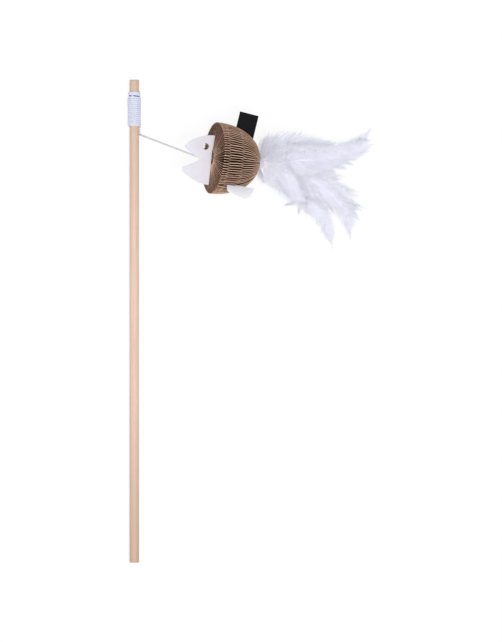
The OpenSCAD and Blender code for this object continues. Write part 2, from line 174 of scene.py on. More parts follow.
# ---------------------------------------------------------------- materials
class Paint:
    """Shader nodes of a material or of the world. Materials lie on Object coordinates or the piece's own UV map."""

    def __init__(self, owner):
        owner.use_nodes = True
        self.owner = owner
        self.nodes = owner.node_tree.nodes
        self.links = owner.node_tree.links
        self.nodes.clear()
        self.coords = self.put("TexCoord").outputs

    def feed(self, socket, value):
        """Links a node's output to the socket, or sets the socket's constant."""
        if hasattr(value, "is_output"):
            self.links.new(value, socket)
        else:
            socket.default_value = (*value, 1) if socket.type == "RGBA" else value

    def put(self, kind, inputs=(), **settings):
        node = self.nodes.new("ShaderNode" + kind)
        for key, value in settings.items():
            setattr(node, key, value)
        for key, value in dict(inputs).items():
            self.feed(node.inputs[key], value)
        return node

    def noise(self, pace, detail, rough, distortion=0):
        """Noise on Object coordinates: pace says how fast it changes per metre, along every axis or along each."""
        pace = pace if isinstance(pace, tuple) else (pace, pace, pace)
        place = self.put("Mapping", {"Vector": self.coords["Object"], "Scale": pace}).outputs[0]
        return self.put("TexNoise", {"Vector": place, "Scale": 1.0, "Detail": detail, "Roughness": rough,
                                     "Distortion": distortion}).outputs["Fac"]

    def axes(self, source):
        return self.put("SeparateXYZ", {"Vector": self.coords[source]}).outputs

    def ramp(self, value, *stops):
        node = self.put("ValToRGB", {"Fac": value})
        band = node.color_ramp
        while len(band.elements) < len(stops):
            band.elements.new(0.5)
        for element, (place, colour) in zip(band.elements, stops):
            element.position = place
            element.color = (*colour, 1)
        return node.outputs["Color"]

    def grey(self, value, low, high, at=(0, 1)):
        return self.put("MapRange", {"Value": value, "From Min": at[0], "From Max": at[1], "To Min": low,
                                     "To Max": high}).outputs[0]

    def mix(self, factor, a, b):
        return self.put("Mix", {0: factor, 6: a, 7: b}, data_type="RGBA").outputs[2]

    def maths(self, operation, a, b=0.0):
        return self.put("Math", {0: a, 1: b}, operation=operation).outputs[0]

    def wave(self, phase):
        return self.maths("ABSOLUTE", self.maths("SINE", phase))

    def surface(self, colour, rough, bump=None, strength=0.0, depth=0.0, **constants):
        inputs = {"Base Color": colour, "Roughness": rough}
        inputs.update({name.replace("_", " "): value for name, value in constants.items()})
        if bump is not None:
            inputs["Normal"] = self.put("Bump", {"Height": bump, "Strength": strength, "Distance": depth}).outputs[0]
        return self.put("BsdfPrincipled", inputs).outputs[0]

    def finish(self, *surface, **constants):
        self.put("OutputMaterial", {"Surface": self.surface(*surface, **constants)})
        return self.owner


def paint(name):
    return Paint(bpy.data.materials.new(name))


def srgb(r, g, b):
    return tuple(((c / 255 + 0.055) / 1.055) ** 2.4 if c > 10.3 else c / 255 / 12.92 for c in (r, g, b))


def shade(colour, share):
    return tuple(c * share for c in colour)


def dowel_wood():
    """Pale wood with its grain along Y, with painted shade towards the lower end, and less of it towards the tip."""
    p = paint("dowel_wood")
    fibre = p.noise((1400, 22, 1400), 4, 0.6)
    rays = p.noise((2600, 160, 2600), 2, 0.5)
    bands = p.noise((240, 3.2, 240), 3, 0.5, 0.6)
    colour = p.ramp(fibre, (0.25, srgb(202, 173, 151)), (0.52, srgb(219, 193, 173)), (0.8, srgb(228, 206, 189)))
    colour = p.mix(p.grey(bands, 0.0, 0.4, (0.35, 0.7)), colour, srgb(207, 176, 151))
    colour = p.mix(p.grey(rays, 0.0, 0.45, (0.62, 0.72)), colour, srgb(182, 150, 126))
    # Painted shade: the colour darkens towards the lower end of the dowel, and less so towards the tip
    along = p.axes("Object")[1]
    shade_from, shade_to = 0.06, 0.2
    low_end_shade = p.grey(p.maths("MULTIPLY", along, -1.0), 0.0, 0.78, (shade_from, shade_to))
    tip = p.grey(along, 0.0, 0.5, (shade_from, shade_to))
    colour = p.mix(p.maths("ADD", low_end_shade, tip), colour, srgb(185, 157, 134))
    return p.finish(colour, p.grey(fibre, 0.5, 0.66), p.maths("ADD", fibre, rays), 0.25, 0.00012)


def braided_cord(name, low, high):
    """Strands that cross on the cord's own UV map: u runs along it in millimetres, v once round."""
    p = paint(name)
    u, v = p.axes("UV")[:2]
    pace, strands = 5.2, 4
    waves = []
    for way in (1, -1):
        waves.append(p.wave(p.maths("ADD", p.maths("MULTIPLY", u, pace),
                                    p.maths("MULTIPLY", v, way * strands * 2 * math.pi))))
    braid = p.maths("MAXIMUM", *waves)
    fuzz = p.noise(3000, 3, 0.6)
    colour = p.mix(p.grey(braid, 0.0, 1.0, (0.6, 1.0)), low, high)
    colour = p.mix(p.grey(fuzz, 0.0, 0.25), colour, shade(low, 0.93))
    return p.finish(colour, 0.85, braid, 0.03, 0.00003)


def kraft_paper(name, dark, light, edge):
    """Uncoated brown paper with fibres and flecks. The attribute 'cut' paints a highlight on it, and the attribute
    'deep' paints shade into it.
    """
    p = paint(name)
    fibre = p.noise(900, 4, 0.65)
    cloud = p.noise(90, 3, 0.5)
    fleck = p.noise(2600, 2, 0.5)
    colour = p.ramp(fibre, (0.3, dark), (0.7, light))
    colour = p.mix(p.grey(cloud, 0.0, 0.5, (0.35, 0.7)), colour, shade(light, 0.86))
    colour = p.mix(p.grey(fleck, 0.0, 0.6, (0.66, 0.74)), colour, shade(dark, 0.55))
    cut, deep = (p.put("Attribute", attribute_name=key).outputs["Fac"] for key in ("cut", "deep"))
    # Painted shade: the paper darkens to nearly black the further it lies inside the cells
    colour = p.mix(p.grey(deep, 0.0, 0.96, (0.0, 0.9)), colour, shade(dark, 0.07))
    # Painted highlight: the cut edges take the light edge colour
    colour = p.mix(cut, colour, edge)
    return p.finish(colour, p.grey(fibre, 0.82, 0.96), p.maths("ADD", fibre, fleck), 0.3, 0.0001)


def pressed_felt(name, low, high):
    p = paint(name)
    hair = p.noise(2200, 5, 0.7)
    cloud = p.noise(120, 2, 0.5)
    colour = p.ramp(hair, (0.3, low), (0.7, high))
    colour = p.mix(p.grey(cloud, 0.0, 0.35, (0.35, 0.7)), colour, shade(low, 0.95))
    return p.finish(colour, 0.9, hair, 0.35, 0.00012, Sheen_Weight=0.25, Sheen_Roughness=0.6)


def woven_ribbon():
    """Black satin ribbon: warp and weft as crossing waves on the ribbon's own UV map, in millimetres."""
    p = paint("woven_ribbon")
    warps_per_mm, wefts_per_mm = 1.6, 1.1
    across, along = p.axes("UV")[:2]
    weave = p.maths("MULTIPLY", p.wave(p.maths("MULTIPLY", across, 2 * math.pi * warps_per_mm)),
                    p.wave(p.maths("MULTIPLY", along, 2 * math.pi * wefts_per_mm)))
    lint = p.noise(1500, 3, 0.6)
    colour = p.ramp(weave, (0.1, srgb(4, 4, 8)), (0.9, srgb(11, 11, 18)))
    colour = p.mix(p.grey(lint, 0.0, 0.5, (0.66, 0.85)), colour, srgb(27, 27, 36))
    return p.finish(colour, p.grey(weave, 0.6, 0.75), weave, 0.4, 0.0001, Specular_IOR_Level=0.15)


def downy_feather(name, low, high):
    p = paint(name)
    streak = p.noise(700, 3, 0.6)
    cloud = p.noise(60, 2, 0.5)
    colour = p.ramp(streak, (0.3, low), (0.7, high))
    colour = p.mix(p.grey(cloud, 0.0, 0.5, (0.35, 0.7)), colour, shade(low, 0.98))
    return p.finish(colour, 0.9, Sheen_Weight=0.5, Sheen_Roughness=0.6)


def quill_horn():
    p = paint("quill_horn")
    streak = p.noise(500, 3, 0.5)
    return p.finish(p.ramp(streak, (0.3, srgb(214, 214, 227)), (0.7, srgb(225, 225, 236))), 0.4, streak, 0.1, 0.00005)


def set_glue():
    p = paint("set_glue")
    cloud = p.noise(800, 3, 0.5)
    return p.finish(p.ramp(cloud, (0.3, srgb(214, 205, 180)), (0.7, srgb(236, 230, 212))), 0.35, cloud, 0.3, 0.0002)


WOOD = dowel_wood()
CORD = braided_cord("braided_cord", srgb(210, 212, 231), srgb(218, 220, 239))
# A dark grey-violet copy of the cord: painted shade for the bottom of the gap below the first turns
SHADED_GAP_CORD = braided_cord("shaded_gap_cord", srgb(92, 89, 108), srgb(108, 105, 124))
# A greyer copy of the cord for its free length: painted shade
SHADED_FREE_CORD = braided_cord("shaded_free_cord", srgb(196, 196, 202), srgb(208, 208, 214))
# The last colour is the painted highlight on the sheets' cut edges
PAPER = kraft_paper("kraft_paper", srgb(84, 54, 41), srgb(119, 81, 62), srgb(243, 200, 170))
CARD = kraft_paper("kraft_card", srgb(124, 95, 80), srgb(152, 120, 102), srgb(182, 150, 130))
# A darker, greyer copy of the white felt for the head: painted shade against the light it catches
SHADED_HEAD_FELT = pressed_felt("shaded_head_felt", srgb(212, 210, 219), srgb(229, 227, 235))
# A whiter copy of the white felt for the fin: painted light, for a face turned away from the lamps
LIT_FIN_FELT = pressed_felt("lit_fin_felt", srgb(236, 236, 246), srgb(250, 250, 255))
RIBBON = woven_ribbon()
DOWN = downy_feather("downy_feather", srgb(231, 231, 243), srgb(242, 242, 250))
# A whiter copy of the down for the strands round the root and over the creases: painted light where they lie in shade
PAINTED_LIGHT_DOWN = downy_feather("root_down", srgb(243, 243, 255), srgb(249, 249, 255))
# A slightly darker copy of the down for the web: painted shade
WEB = downy_feather("shaded_feather_web", srgb(227, 227, 240), srgb(237, 237, 248))
HORN = quill_horn()
GLUE = set_glue()


# ---------------------------------------------------------------- free cord
CORD_R = 0.7
# The cord's route, in metres: where it leaves the dowel, and its points from there to the mouth
EXIT = Vector((-0.091395, 0.154582, 0.00369827))
CORD_STEPS = [Vector((3.21, -1.23, 2.0)) * MM * i for i in range(16)]


def cord_ring(way, radius, sides):
    side = UP.cross(way).normalized()
    top = way.cross(side)
    return [(side * math.cos(a) + top * math.sin(a)) * (radius * MM) for a in
            [2 * math.pi * j / sides for j in range(sides)]]


def cord_mesh(name, path, rings, lengths):
    """A cord along its path, with UV: u along it by the given lengths, v once round."""
    piece = mesh_piece(name, *tube(path, rings))
    outward(piece)
    sides = len(rings[0])
    layer = piece.data.uv_layers.new(name="UVMap")
    for face in piece.data.polygons:
        if len(face.vertices) != 4:
            continue
        around = [piece.data.loops[k].vertex_index % sides for k in face.loop_indices]
        wrap = max(around) == sides - 1 and min(around) == 0
        for k, j in zip(face.loop_indices, around):
            i = piece.data.loops[k].vertex_index // sides
            layer.data[k].uv = (lengths[i], (sides if wrap and j == 0 else j) / sides)
    return piece


def run_along(path):
    run = [0.0]
    for a, b in zip(path, path[1:]):
        run.append(run[-1] + (b - a).length / MM)
    return run


def from_start(path):
    return [(q - path[0]).length / MM for q in path]


def free_cord():
    steps, sides = 60, 16
    start, end = EXIT + CORD_STEPS[0], EXIT + CORD_STEPS[-1]
    path = [start + (end - start) * i / steps for i in range(steps + 1)]
    ring = cord_ring((end - start).normalized(), CORD_R, sides)
    piece = cord_mesh("free_cord", path, [ring] * len(path), from_start(path))
    dress(piece, SHADED_FREE_CORD, "white_cord", "line", "cord")


free_cord()


# ---------------------------------------------------------------- cord wound on the dowel, and its lead to the exit
TURNS, TURN_PITCH, TURN_STEPS = 17, 1.66, 36
WIND_TOP, WIND_END = 389.78, math.radians(20)
# The gap below the first turns: after how many, how wide, and over what part of a turn it opens
GAP_TURN, GAP, GAP_OPENS = 2.2, 0.8, 0.25
TOP_PITCH, TOP_LOWER, TOP_FADE = 1.5, 0.3, 0.7
TURN_SLANT = 0.8
# Half the width and half the thickness of the cord, pressed on the dowel
WOUND_W, WOUND_T = 0.8, 0.76
# The cord's own end, tucked under the turns: its turn in degrees, which turns ride highest over it, and by how much
TUCK_DEG, TUCK_VEER_DEG = 112, 14
OVER_TURN, OVER_SPAN, OVER_ALL, OVER_TUCK = 4.6, 1.9, 0.12, 0.42
# The lead: its turn, its length below the winding, how far the bend into it reaches, and its height
LEAD_TURN, LEAD_LEN, LEAD_BEND, LEAD_OUT = math.radians(-23), 7, 2.9, 0.75
BEND_STEPS, LEAD_STEPS = 14, 8


def wound_turn(turn):
    return WIND_END - 2 * math.pi * (turn - TURNS)


def wound_place(turn):
    """Place along the dowel after so many turns from the top: two close turns, a gap, then the rest."""
    if turn < GAP_TURN:
        return WIND_TOP - turn * TOP_PITCH
    opened = min(1, (turn - GAP_TURN) / GAP_OPENS)
    rest = (TURNS * TURN_PITCH - GAP_TURN * TOP_PITCH - GAP) / (TURNS - GAP_TURN)
    return WIND_TOP - GAP_TURN * TOP_PITCH - GAP * opened - (turn - GAP_TURN) * rest


def wound_height(turn, angle):
    """How far the cord's middle stands out of the dowel: more where it crosses its own tucked end."""
    over = math.exp(-((turn - OVER_TURN) / OVER_SPAN) ** 2)
    side = 0.5 + 0.5 * math.cos(angle - math.radians(TUCK_DEG))
    lower = TOP_LOWER * min(1, max(0, 1 - (turn - GAP_TURN) / TOP_FADE))
    return WOUND_T - lower + OVER_ALL * over + OVER_TUCK * over * side ** 6


def slant(angle):
    """The turns aren't quite square to the dowel: they stand a little nearer the tip on the camera's side."""
    return TURN_SLANT * math.sin(angle)


def wound_route():
    """The cord's turn, place along the dowel and height, from the first turn to the last."""
    route = []
    for i in range(TURNS * TURN_STEPS + 1):
        turn = i / TURN_STEPS
        angle = wound_turn(turn)
        wobble = 0.06 * noise.noise(Vector((turn * 1.7, 3.1, 0)))
        route.append((angle, wound_place(turn) + wobble + slant(angle), wound_height(turn, angle)))
    return route


def lead_route(angle, along, out):
    """From the last turn round a bend, and down the dowel's flank to the exit."""
    route = []
    for i in range(1, BEND_STEPS + 1):
        a = math.pi / 2 * i / BEND_STEPS
        route.append((angle + (LEAD_TURN - angle) * math.sin(a), along - LEAD_BEND * (1 - math.cos(a)),
                      out + (LEAD_OUT - out) * math.sin(a)))
    bend_along = route[-1][1]
    exit_along = WIND_TOP - TURNS * TURN_PITCH - LEAD_LEN
    for i in range(1, LEAD_STEPS + 1):
        route.append((LEAD_TURN, bend_along + (exit_along - bend_along) * i / LEAD_STEPS, LEAD_OUT))
    return route


def wound_cord():
    """One cord: pressed flat on the dowel at first, squarer further down, and round in its lead."""
    sides, first_steps, thin_share = 14, 8, 0.35
    route = wound_route()
    last = len(route) - 1
    route += lead_route(*route[-1])
    centre = [on_rod(ROD_R + out, angle, along) for angle, along, out in route]
    rings = []
    for i, (angle, _, _) in enumerate(route):
        way = way_at(centre, i)
        out = (on_rod(1, angle, 0) - on_rod(0, angle, 0)).normalized()
        side = out.cross(way).normalized()
        top = way.cross(side)
        blend = min(1, max(0, (i - last) / BEND_STEPS))
        wide, high = WOUND_W - (WOUND_W - CORD_R) * blend, WOUND_T - (WOUND_T - CORD_R) * blend
        roundness = 0.62 + 0.38 * max(blend, min(1, i / last / 1.6))
        swell = min(1, thin_share + (1 - thin_share) * i / first_steps)
        ring = []
        for j in range(sides):
            a = 2 * math.pi * j / sides
            c, s = (math.copysign(abs(f) ** roundness, f) for f in (math.cos(a), math.sin(a)))
            ring.append((side * (wide * swell) * c + top * (high * swell) * s) * MM)
        rings.append(ring)
    return dress(cord_mesh("wound_cord", centre, rings, run_along(centre)), CORD, "white_cord", "wand",
                 "cord_winding", "cord_lead")


def tucked_end():
    """The cord's own end: it crosses the gap below the first turns and runs under the next ones."""
    steps, tip_steps, below_top, length = 24, 5, 1.6, 8.2
    path = []
    for i in range(steps + 1):
        t = i / steps
        out = 0.62 + 0.5 * math.exp(-((t - 0.28) / 0.14) ** 2) - 0.22 * t
        path.append(on_rod(ROD_R + out, math.radians(TUCK_DEG - TUCK_VEER_DEG * t), WIND_TOP - below_top - length * t))
    rings = [cord_ring(way_at(path, i), 0.68 - 0.12 * max(0, i - (steps - tip_steps)), 12) for i in range(len(path))]
    return dress(cord_mesh("tucked_end", path, rings, from_start(path)), CORD, "white_cord", "wand")


def gap_strand():
    """The first layer of cord, pressed flat, that shows at the bottom of the gap. Its dark grey-violet colour is
    painted shade.
    """
    steps, fade_steps, from_turn, turns = 60, 6, 1.15, 1.25
    path = []
    for i in range(steps + 1):
        turn = from_turn + turns * i / steps
        angle = wound_turn(turn)
        path.append(on_rod(ROD_R + 0.2, angle, (wound_place(turn) + wound_place(turn + 1)) / 2 + slant(angle)))
    rings = [cord_ring(way_at(path, i), 0.1 + 0.28 * min(1, i / fade_steps, (steps - i) / fade_steps), 10)
             for i in range(len(path))]
    return dress(cord_mesh("gap_strand", path, rings, from_start(path)), SHADED_GAP_CORD, "white_cord", "wand")


wound_cord()
tucked_end()
gap_strand()


# ---------------------------------------------------------------- the cord's bends, its hidden end and the knot
MOUTH_SHARE, MOUTH_DROP_SHARE = 0.47, 0.7
MOUTH_FISH = (-HEAD_LEN * MOUTH_SHARE, -CORD_R * MOUTH_DROP_SHARE, -(HEAD_T / 2 + SEAT + CORD_R))
KNOT_U = BODY_LEN / 2


def cord_piece(name, path, body, node, radius=CORD_R, sides=12, taper=2):
    """A length of cord along a path in metres, with rounded ends."""
    rings, last = [], len(path) - 1
    for i in range(last + 1):
        end = min(i, last - i)
        share = 1 if end >= taper else math.sqrt(1 - (1 - (end + 0.35) / (taper + 0.35)) ** 2)
        rings.append(cord_ring(way_at(path, i), radius * share, sides))
    return dress(cord_mesh(name, path, rings, run_along(path)), CORD, "white_cord", body, node)


def bend_path(at, way_in, way_out):
    """A short bend that comes in along one way and leaves along the other."""
    reach, steps = 0.75 * MM, 12
    a, b = at - way_in * reach, at + way_out * reach
    return [a * (1 - t) ** 2 + at * 2 * t * (1 - t) + b * t * t for t in [i / steps for i in range(steps + 1)]]


def cord_bends():
    cord_way = CORD_STEPS[1].normalized()
    rod_way = (on_rod(0, 0, 0) - on_rod(0, 0, 1)).normalized()
    cord_piece("exit_turn", bend_path(EXIT, rod_way, cord_way), "bend", "exit_bend")
    cord_piece("mouth_turn", bend_path(EXIT + CORD_STEPS[-1], cord_way, fish_turn(1, 0, 0)), "mouth", "mouth_bend")


def hidden_cord():
    """Under the head, through the flat front and into the core tube as far as the knot."""
    steps = 40
    u, v, w = MOUTH_FISH
    start, end = u + 0.8, KNOT_U - 1.7
    path = [in_fish(start + (end - start) * i / steps, v, w) for i in range(steps + 1)]
    cord_piece("hidden_cord", path, "fish", "inner_cord")


def overhand_knot():
    """A pulled overhand knot: a trefoil of the same cord."""
    points, radius, thick = 98, 0.82, 0.62
    path = []
    for i in range(points - 1):
        t = 2 * math.pi * (i + 0.5) / points
        around = radius * (2 + math.cos(3 * t)) / 2
        path.append(in_fish(KNOT_U + thick * math.sin(3 * t), around * math.cos(2 * t), around * math.sin(2 * t)))
    cord_piece("overhand_knot", path, "fish", "end_knot", radius=thick)


cord_bends()
hidden_cord()
overhand_knot()


# ---------------------------------------------------------------- honeycomb body
SHEETS, SHEET_T, RIM_T = 168, 0.15, 0.14
SHEET_STEP = 2 * math.pi / (SHEETS - 1)
# Where along the body the glue lines change over, how quickly, and where the sheets close up towards the tail
ZONES, ZONE_SWAP, CLOSES_FROM, CLOSES_OVER = (6.8, 19.4, 32.8), 0.95, 33.5, 4
SEAM_HALF, GLUE_SINK = 1.2, 0.13
# The sheets make room for the fin: at which angle, how much, over how many sheets, and how far along the body
FIN_ANGLE, FIN_ROOM, FIN_SHEETS, FIN_FROM, FIN_TO = math.radians(136.262), 0.62, 14, 3, 36
# The body's front is hollow like a flat cone
CONE_DEPTH, CONE_TILT = 1.75, 0.35
# A sheet's root in the hub, its least rim, and how far behind its rim and its front its painted shade grows
ROOT_R, LEAST_RIM_R, RIM_SHADE, FRONT_SHADE = HUB_R - 0.4, HUB_R + 0.3, 0.75, 4.5
# How far along the body the painted highlight on a sheet's front corner and on its front reaches
CORNER_TO, FRONT_TO = 2.5, 0.4
# Points of a sheet: places along the body, and shares of its reach from the hub to the rim
STATIONS = (0, 0.5, 1.2, 2.2, 3.6, 4.8, 5.6, 6.2, 6.8, 7.4, 8, 9, 11, 13, 15, 16.8, 17.8, 18.5, 19, 19.4, 19.9,
            20.5, 21.5, 23.5, 26, 28.4, 30.2, 31.2, 32, 32.8, 33.6, 34.6, 36, 37.4, 38.6, 39.6, 40.1)
REACHES = (0.0, 0.5, 0.86, 0.945, 0.985, 1.0)


def partner_phase(u):
    """+1 where the even pairs are glued, -1 where the odd ones are. It swaps quickly at each glue line."""
    phase = 1.0
    for zone in ZONES:
        phase *= math.tanh((zone - u) / ZONE_SWAP)
    return phase * (1 - 0.9 * min(1, max(0, (u - CLOSES_FROM) / CLOSES_OVER)))


def edge_highlight(i, u, reach):
    """How strong the painted highlight on a sheet's cut edge is: at its front corner, at its rim and just inside it,
    and along its front, where the sheets turned one way get more.
    """
    tone = 0.75 + 0.5 * noise.noise(Vector((i * 3.7, 1.3, 8.1)))
    corner = 1.0 if reach == 1 and u < CORNER_TO else 0.0
    rim = tone if reach == 1 else 0.12 * tone if reach > 0.95 else 0.0
    front = 0.0
    if u < FRONT_TO:
        grain = abs(noise.noise(Vector((i * 5.3, 0.7, 2.2))))
        front = (0.34 + 0.5 * max(0, -math.cos(SHEET_STEP * i)) + 1.2 * grain) * tone
    return max(corner, rim, front)


def sheet_point(i, u, reach):
    """Place of a sheet's point as (u, r, angle, offset), the strength of its painted edge highlight, and its painted
    shade, which grows the further it lies behind the edges.
    """
    way = 1 if i % 2 == 0 else -1
    free = 0 if i in (0, SHEETS - 1) else 1
    base = SHEET_STEP * i
    from_fin = (base - FIN_ANGLE) / SHEET_STEP
    phase = partner_phase(u)
    edge = max(dome_r(u), LEAST_RIM_R)
    r = ROOT_R + (edge - ROOT_R) * reach
    angle = base + way * free * SHEET_STEP * phase / 2
    off = SEAM_HALF * (1 - 2 * i / (SHEETS - 1))
    off -= way * free * GLUE_SINK * phase
    room = math.copysign(max(0, 1 - abs(from_fin) / FIN_SHEETS), from_fin)
    off += FIN_ROOM * room * (1 if FIN_FROM < u < FIN_TO else 0.4)
    off += 0.34 * noise.noise(Vector((u * 0.16, r * 0.09, i * 0.37))) * reach * free
    r += 0.16 * noise.noise(Vector((u * 0.5, i * 1.9, 4.0))) * reach * free
    front = (CONE_DEPTH + CONE_TILT * math.sin(base)) * (r - HUB_R) / (BODY_R - HUB_R)
    # Painted shade, growing with the distance behind the rim and behind the front
    deep = min(1.0, max(0.0, min((edge - r) / RIM_SHADE, (u - front) / FRONT_SHADE)))
    return max(u, front), r, angle, off, edge_highlight(i, u, reach), deep


def across(u, r, a, off):
    return in_fish(u, r * math.cos(a) - off * math.sin(a), r * math.sin(a) + off * math.cos(a))


def honeycomb_body():
    points, faces, cut, deep = [], [], [], []
    for i in range(SHEETS):
        faces += slab_faces(len(STATIONS), len(REACHES), len(points))
        sheet = [sheet_point(i, u, reach) for u in STATIONS for reach in REACHES]
        for side in (-0.5, 0.5):
            for u, r, angle, off, tone, depth in sheet:
                points.append(across(u, r, angle, off + side * (SHEET_T + RIM_T * tone)))
                cut.append(tone)
                deep.append(depth)
    piece = mesh_piece("honeycomb_body", points, faces, smooth=False)
    # Attributes for the material: the painted edge highlight, and the painted shade
    for name, values in (("cut", cut), ("deep", deep)):
        piece.data.attributes.new(name, "FLOAT", "POINT").data.foreach_set("value", values)
    outward(piece)
    return dress(piece, PAPER, "kraft_paper", "fish", "paper_body")


def paper_hub():
    """A paper sleeve, open at both ends, that the sheets are pressed into."""
    sides, radius, length = 96, 5.85, 40.0
    bpy.ops.object.select_all(action="DESELECT")
    bpy.ops.mesh.primitive_cylinder_add(vertices=sides, radius=radius * MM, depth=length * MM,
                                        end_fill_type="NOTHING", location=(0, 0, 0))
    piece = bpy.context.active_object
    piece.name = "paper_hub"
    for vertex in piece.data.vertices:
        x, y, z = vertex.co / MM
        vertex.co = in_fish(z + length / 2 + SEAT, x, y)
    outward(piece)
    return dress(piece, PAPER, "kraft_paper", "fish")


honeycomb_body()
paper_hub()


# ---------------------------------------------------------------- head, fin and tag
PLATE_ROUNDING = 0.22


def soft_copy(node, name):
    """A copy of a CAD node, merged, with its cut edges slightly rounded."""
    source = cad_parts[node]
    piece = source.copy()
    piece.data = source.data.copy()
    for key in list(piece.keys()):
        del piece[key]
    piece.name = name
    piece.parent = None
    bpy.context.scene.collection.objects.link(piece)
    piece.data.materials.clear()
    only(piece)
    bpy.ops.object.mode_set(mode="EDIT")
    bpy.ops.mesh.select_all(action="SELECT")
    bpy.ops.mesh.remove_doubles(threshold=0.01 * MM)
    bpy.ops.mesh.dissolve_limited(angle_limit=math.radians(1))
    bpy.ops.object.mode_set(mode="OBJECT")
    rounding = piece.modifiers.new("rounding", "BEVEL")
    rounding.width = PLATE_ROUNDING * MM
    rounding.segments = 3
    rounding.limit_method = "ANGLE"
    rounding.angle_limit = math.radians(50)
    bpy.ops.object.modifier_apply(modifier="rounding")
    bpy.ops.object.shade_smooth_by_angle(angle=math.radians(40))
    bpy.ops.object.select_all(action="DESELECT")
    return piece


def head_plate():
    """The head, with its eye hole a little nearer the body than in the solid."""
    eye, eye_room, eye_shift = Vector((-HEAD_LEN * 0.273, HEAD_UP * 0.47)), 3.1, 0.9
    plate = soft_copy("head", "head_plate")
    along, up = fish_turn(1, 0, 0), fish_turn(0, 1, 0)
    for vertex in plate.data.vertices:
        place = vertex.co / MM - FISH_AT
        if (Vector((place.dot(along), place.dot(up))) - eye).length < eye_room:
            vertex.co += along * eye_shift * MM
    return dress(plate, SHADED_HEAD_FELT, "white_felt", "fish", "head")


def fin_plate():
    """The fin, with a tongue that is just long enough to hide between its two sheets."""
    tongue_below, tongue_shift = 25, 5.2
    plate = soft_copy("fin", "fin_plate")
    out = fish_turn(0, math.cos(FIN_ANGLE), math.sin(FIN_ANGLE))
    for vertex in plate.data.vertices:
        if (vertex.co / MM - FISH_AT).dot(out) < tongue_below:
            vertex.co += out * tongue_shift * MM
    return dress(plate, LIT_FIN_FELT, "white_felt", "fish", "fin")


TAG_W, TAG_H, TAG_T, TAG_LEAN = 16.4, 25.0, 0.36, math.radians(8)
TAG_U, TAG_TOP = BODY_LEN * 0.699, BODY_R * 1.333
# Half the room between the leaves, where the fold's bend starts below the tag's top, and how far it rises
LEAF_HALF_GAP, FOLD_BELOW, FOLD_RISE = 0.26, 0.7, 0.42
# How far the leaves stop short of the tag's foot, and the share of them that the seam keeps flat
LEAF_SHORT, LEAF_HELD = 0.2, 0.45
# How high and over what reach the rest bows, and how high it ripples
TAG_BOW, BOW_REACH, TAG_RIPPLE = 0.35, 14, 0.05
LEAF_STEPS, TAG_COLUMNS = 12, 16


def tag_line():
    """The ribbon's middle line, seen from its side: up one leaf, round the fold and down the other."""
    leaf = TAG_H - FOLD_BELOW - LEAF_SHORT
    line = [(-LEAF_HALF_GAP, -TAG_H + LEAF_SHORT + leaf * i / LEAF_STEPS) for i in range(LEAF_STEPS + 1)]
    for i in range(1, LEAF_STEPS):
        a = math.pi * (1 - i / LEAF_STEPS)
        line.append((LEAF_HALF_GAP * math.cos(a), -FOLD_BELOW + FOLD_RISE * math.sin(a)))
    return line + [(LEAF_HALF_GAP, -FOLD_BELOW - leaf * i / LEAF_STEPS) for i in range(LEAF_STEPS + 1)]


def folded_tag():
    """A ribbon folded once at its outer end: flat where the seam holds it, and bowed a little near the fold."""
    line = tag_line()
    run, points, uvs = [0.0], [], []
    for a, b in zip(line, line[1:]):
        run.append(run[-1] + math.hypot(b[0] - a[0], b[1] - a[1]))
    for side in (-1, 1):
        for k, (w, v) in enumerate(line):
            a, b = line[max(k - 1, 0)], line[min(k + 1, len(line) - 1)]
            size = math.hypot(b[0] - a[0], b[1] - a[1])
            out_w, out_v = (b[1] - a[1]) / size, -(b[0] - a[0]) / size
            for j in range(TAG_COLUMNS + 1):
                x = (j / TAG_COLUMNS - 0.5) * TAG_W
                loose = max(0, min(1, (v + TAG_H) / TAG_H - LEAF_HELD)) / (1 - LEAF_HELD)
                arch = math.sin(max(0, v + BOW_REACH) / BOW_REACH * math.pi)
                bow = TAG_BOW * loose * (1 - (2 * x / TAG_W) ** 2) * arch
                wave = TAG_RIPPLE * math.sin(x * 1.3 + v * 0.5)
                y = v + out_v * side * TAG_T / 4
                z = w + out_w * side * TAG_T / 4 + bow + wave * loose
                points.append(in_fish(TAG_U + x * math.cos(TAG_LEAN) + y * math.sin(TAG_LEAN),
                                      TAG_TOP + y * math.cos(TAG_LEAN) - x * math.sin(TAG_LEAN), z))
                uvs.append((x, run[k]))
    piece = mesh_piece("folded_tag", points, slab_faces(len(line), TAG_COLUMNS + 1))
    layer = piece.data.uv_layers.new(name="UVMap")
    for loop in piece.data.loops:
        layer.data[loop.index].uv = uvs[loop.vertex_index]
    outward(piece)
    only(piece)
    bpy.ops.object.shade_smooth_by_angle(angle=math.radians(50))
    dress(piece, RIBBON, "black_ribbon", "fish", "tag")


head_plate()
fin_plate()
folded_tag()


# ---------------------------------------------------------------- feathers
TAIL_U = BODY_LEN * 0.965
TAIL_AT = in_fish(TAIL_U, 0, 0) / MM
FEATHER_LEN, FEATHER_STEP, FEATHER_T = 108.0, 1.3, 0.9
QUILL_RING, QUILL_R, QUILL_TIP, QUILL_SIDES = 1.575, 0.36, 0.06, 8
# The feathers sink from the tail to the table over this far, round a point inside the body
TAIL_DROP = TAIL_AT.z - 2 * FEATHER_STEP
DROOP = 2 * TAIL_DROP / math.tan(NOSE_UP)
DRAPE_BACK = BODY_LEN * 0.6
DRAPE_AT = Vector((TAIL_AT.x - math.cos(TAIL_TURN) * DRAPE_BACK, TAIL_AT.y + math.sin(TAIL_TURN) * DRAPE_BACK))

